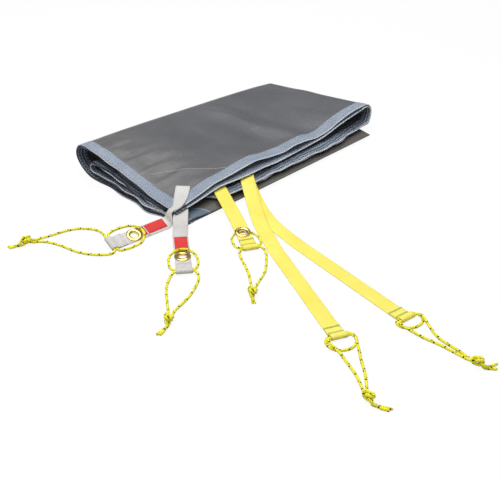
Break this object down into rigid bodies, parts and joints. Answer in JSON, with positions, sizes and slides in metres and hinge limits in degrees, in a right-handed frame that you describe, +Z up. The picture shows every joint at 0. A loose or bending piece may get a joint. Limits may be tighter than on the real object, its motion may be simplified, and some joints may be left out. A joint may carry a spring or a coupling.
{
  "type": "tent groundsheet",
  "caption": "Folded tent groundsheet: coated fabric with taped hems, sewn webbing straps with brass grommets and knotted guy-cord loops",
  "frame": {"origin": "middle of the folded stack, on the surface that it lies on", "axes": "+X along the stack's long front edge, away from the corner with the grey straps; +Y from the front fold to the back bends; +Z up"},
  "size_m": [0.5848, 0.6463, 0.0457],
  "materials": {
    "coated_fabric": "dark grey coated woven nylon, slight sheen",
    "hem_tape": "blue-grey woven binding tape",
    "grey_webbing": "light grey flat webbing",
    "yellow_webbing": "pale yellow flat webbing",
    "red_tab": "red woven tape",
    "brass": "polished brass plate",
    "grey_thread": "grey bar-tack thread",
    "green_thread": "yellow-green bar-tack thread",
    "guy_cord": "yellow braided cord with dark flecks"
  },
  "bodies": {
    "sheet": {"ground_sheet": "coated_fabric", "left_hem_tape_top": "hem_tape", "left_hem_tape_under": "hem_tape", "front_hem_tape_top": "hem_tape", "front_hem_tape_under": "hem_tape", "left_strap_tail": "grey_webbing", "front_strap_tail": "grey_webbing", "short_strap_tail": "yellow_webbing", "middle_strap_tail": "yellow_webbing", "right_strap_tail": "yellow_webbing"},
    "left_end": {"left_strap": "grey_webbing", "left_tab": "red_tab", "left_grommet": "brass", "left_washer": "brass", "left_tacks": "grey_thread"},
    "left_cord": {"left_loop": "guy_cord", "left_knot": "guy_cord"},
    "left_ring_turn": {"left_ring": "guy_cord"},
    "front_end": {"front_strap": "grey_webbing", "front_tab": "red_tab", "front_grommet": "brass", "front_washer": "brass", "front_tacks": "grey_thread"},
    "front_cord": {"front_loop": "guy_cord", "front_knot": "guy_cord"},
    "front_ring_turn": {"front_ring": "guy_cord"},
    "short_end": {"short_strap": "yellow_webbing", "short_grommet": "brass", "short_washer": "brass", "short_tacks": "green_thread", "short_ring": "guy_cord"},
    "short_cord": {"short_loop": "guy_cord", "short_knot": "guy_cord"},
    "middle_end": {"middle_strap": "yellow_webbing", "middle_tacks": "green_thread", "middle_ring": "guy_cord"},
    "middle_cord": {"middle_loop": "guy_cord", "middle_knot": "guy_cord"},
    "right_end": {"right_strap": "yellow_webbing", "right_tacks": "green_thread", "right_ring": "guy_cord"},
    "right_cord": {"right_loop": "guy_cord", "right_knot": "guy_cord"}
  },
  "joints": [
    {"name": "left_strap_bend", "type": "hinge", "parent": "sheet", "child": "left_end", "pos_m": [-0.20041, -0.08622, 0.00593], "axis": [0.1105, 0.9332, 0.342], "range_deg": [0, 40]},
    {"name": "left_loop_swing", "type": "hinge", "parent": "left_end", "child": "left_cord", "pos_m": [-0.28114, -0.0769, 0.00656], "axis": [0.1105, 0.9332, 0.342], "range_deg": [0, 80]},
    {"name": "left_ring_swing", "type": "hinge", "parent": "left_end", "child": "left_ring_turn", "pos_m": [-0.27816, -0.07726, 0.0066], "axis": [-0.1105, -0.9332, -0.342], "range_deg": [0, 80]},
    {"name": "front_strap_bend", "type": "hinge", "parent": "sheet", "child": "front_end", "pos_m": [-0.20541, -0.11688, 0.0025], "axis": [-0.7848, 0.6198, 0], "range_deg": [0, 80]},
    {"name": "front_loop_swing", "type": "hinge", "parent": "front_end", "child": "front_cord", "pos_m": [-0.25638, -0.18143, 0.0042], "axis": [-0.7848, 0.6198, 0], "range_deg": [0, 80]},
    {"name": "front_ring_swing", "type": "hinge", "parent": "front_end", "child": "front_ring_turn", "pos_m": [-0.25453, -0.17908, 0.0042], "axis": [0.7848, -0.6198, 0], "range_deg": [0, 80]},
    {"name": "short_strap_bend", "type": "hinge", "parent": "sheet", "child": "short_end", "pos_m": [-0.13799, -0.14799, 0.00821], "axis": [-0.8746, 0.4848, 0], "range_deg": [0, 80]},
    {"name": "short_loop_swing", "type": "hinge", "parent": "short_end", "child": "short_cord", "pos_m": [-0.16663, -0.19965, 0.00321], "axis": [-0.8746, 0.4848, 0], "range_deg": [0, 80]},
    {"name": "middle_strap_bend", "type": "hinge", "parent": "sheet", "child": "middle_end", "pos_m": [-0.14663, -0.22117, 0.0012], "axis": [-0.9011, 0.4337, 0], "range_deg": [0, 80]},
    {"name": "middle_loop_swing", "type": "hinge", "parent": "middle_end", "child": "middle_cord", "pos_m": [-0.22437, -0.38268, 0.0029], "axis": [-0.9011, 0.4337, 0], "range_deg": [0, 80]},
    {"name": "right_strap_bend", "type": "hinge", "parent": "sheet", "child": "right_end", "pos_m": [-0.11807, -0.23165, 0.0012], "axis": [-0.9854, 0.1702, 0], "range_deg": [0, 80]},
    {"name": "right_loop_swing", "type": "hinge", "parent": "right_end", "child": "right_cord", "pos_m": [-0.14961, -0.4142, 0.0029], "axis": [-0.9854, 0.1702, 0], "range_deg": [0, 80]}
  ]
}
